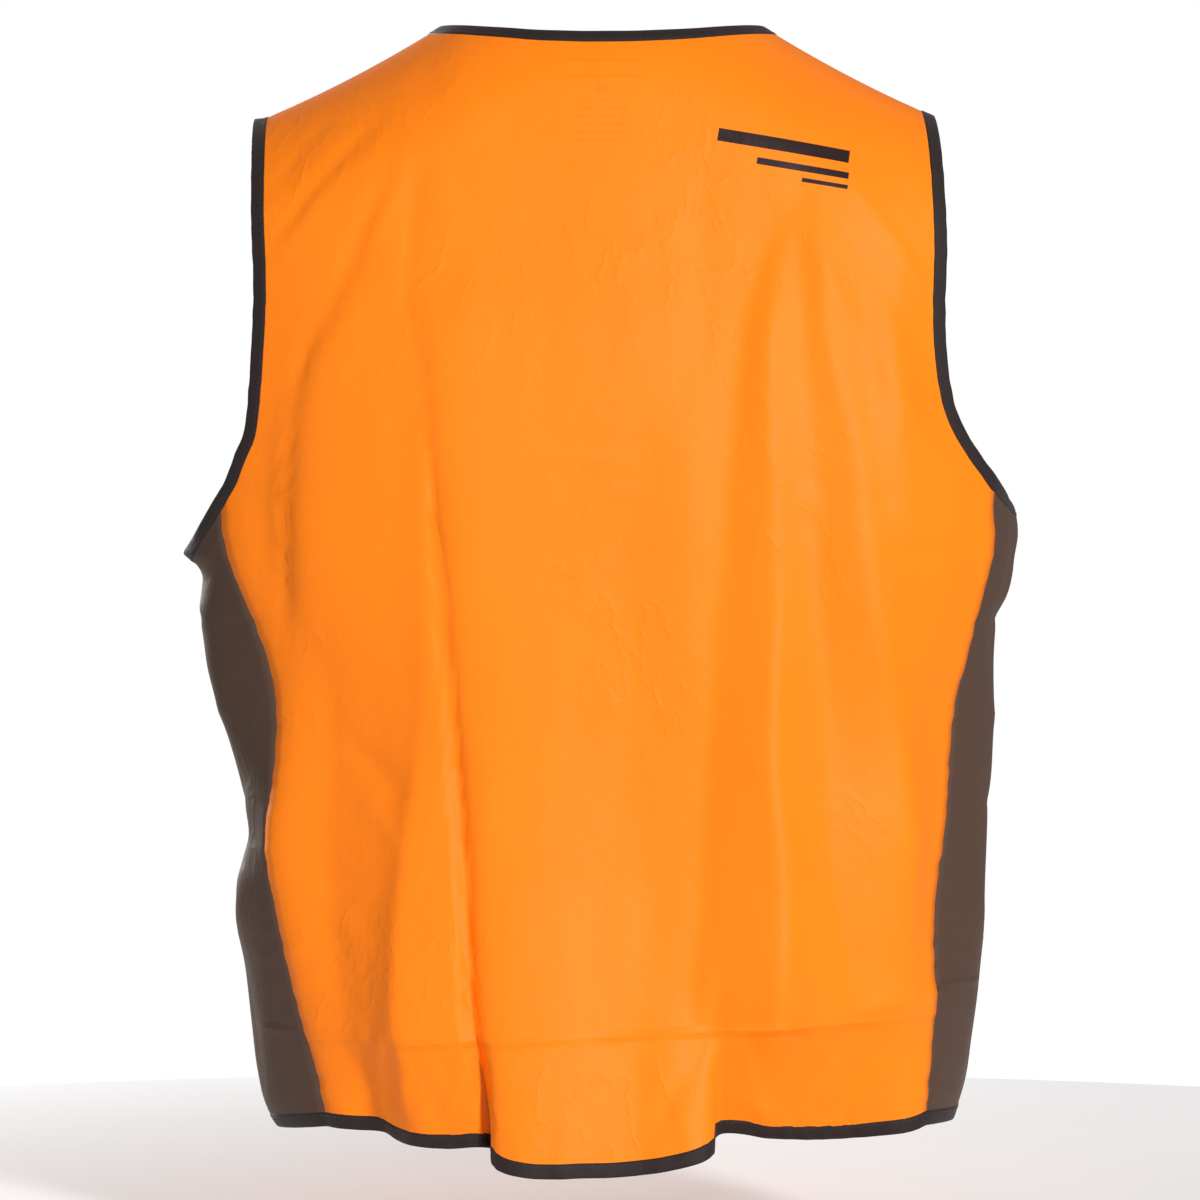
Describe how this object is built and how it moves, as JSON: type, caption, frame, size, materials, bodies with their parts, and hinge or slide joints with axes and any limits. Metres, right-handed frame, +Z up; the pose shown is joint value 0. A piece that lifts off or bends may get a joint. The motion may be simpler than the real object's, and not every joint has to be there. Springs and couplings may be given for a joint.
{
  "type": "sleeveless safety vest",
  "caption": "Sleeveless blaze orange over-vest with brown side panels, dark bound edges and a separating zip down the front.",
  "frame": {"origin": "midway between the two neck points of the shoulders, where the vest hangs from its wearer or from a hanger", "axes": "+Z up along the hanging vest, +Y towards the back of the vest, +X towards the wearer's left"},
  "size_m": [0.5578, 0.2862, 0.7483],
  "materials": {
    "blaze_cloth": "thin plain-woven polyester, matt with a slight sheen",
    "brown_cloth": "thin plain-woven polyester, matt",
    "dark_tape": "ribbed woven tape, matt",
    "coil_nylon": "drawn nylon",
    "black_enamel": "baked enamel on die-cast zinc"
  },
  "bodies": {
    "vest": {"back_panel": "blaze_cloth", "front_panel_left": "blaze_cloth", "front_panel_right": "blaze_cloth", "side_panel_left": "brown_cloth", "side_panel_right": "brown_cloth", "neck_binding": "dark_tape", "armhole_binding_left": "dark_tape", "armhole_binding_right": "dark_tape", "hem_binding": "dark_tape", "zip_tape_left": "dark_tape", "zip_tape_right": "dark_tape", "zip_coil_left": "coil_nylon", "zip_coil_right": "coil_nylon", "top_stop_left": "black_enamel", "top_stop_right": "black_enamel", "insertion_pin": "black_enamel", "retainer_box": "black_enamel"},
    "slider": {"slider_body": "black_enamel"},
    "pull": {"pull_tab": "black_enamel"}
  },
  "joints": [
    {"name": "slider_slide", "type": "slide", "parent": "vest", "child": "slider", "axis": [0, 0, -1], "range_m": [0, 0.57]},
    {"name": "pull_swing", "type": "hinge", "parent": "slider", "child": "pull", "pos_m": [0, -0.1422, -0.1402], "axis": [-1, 0, 0], "range_deg": [0, 165]}
  ]
}
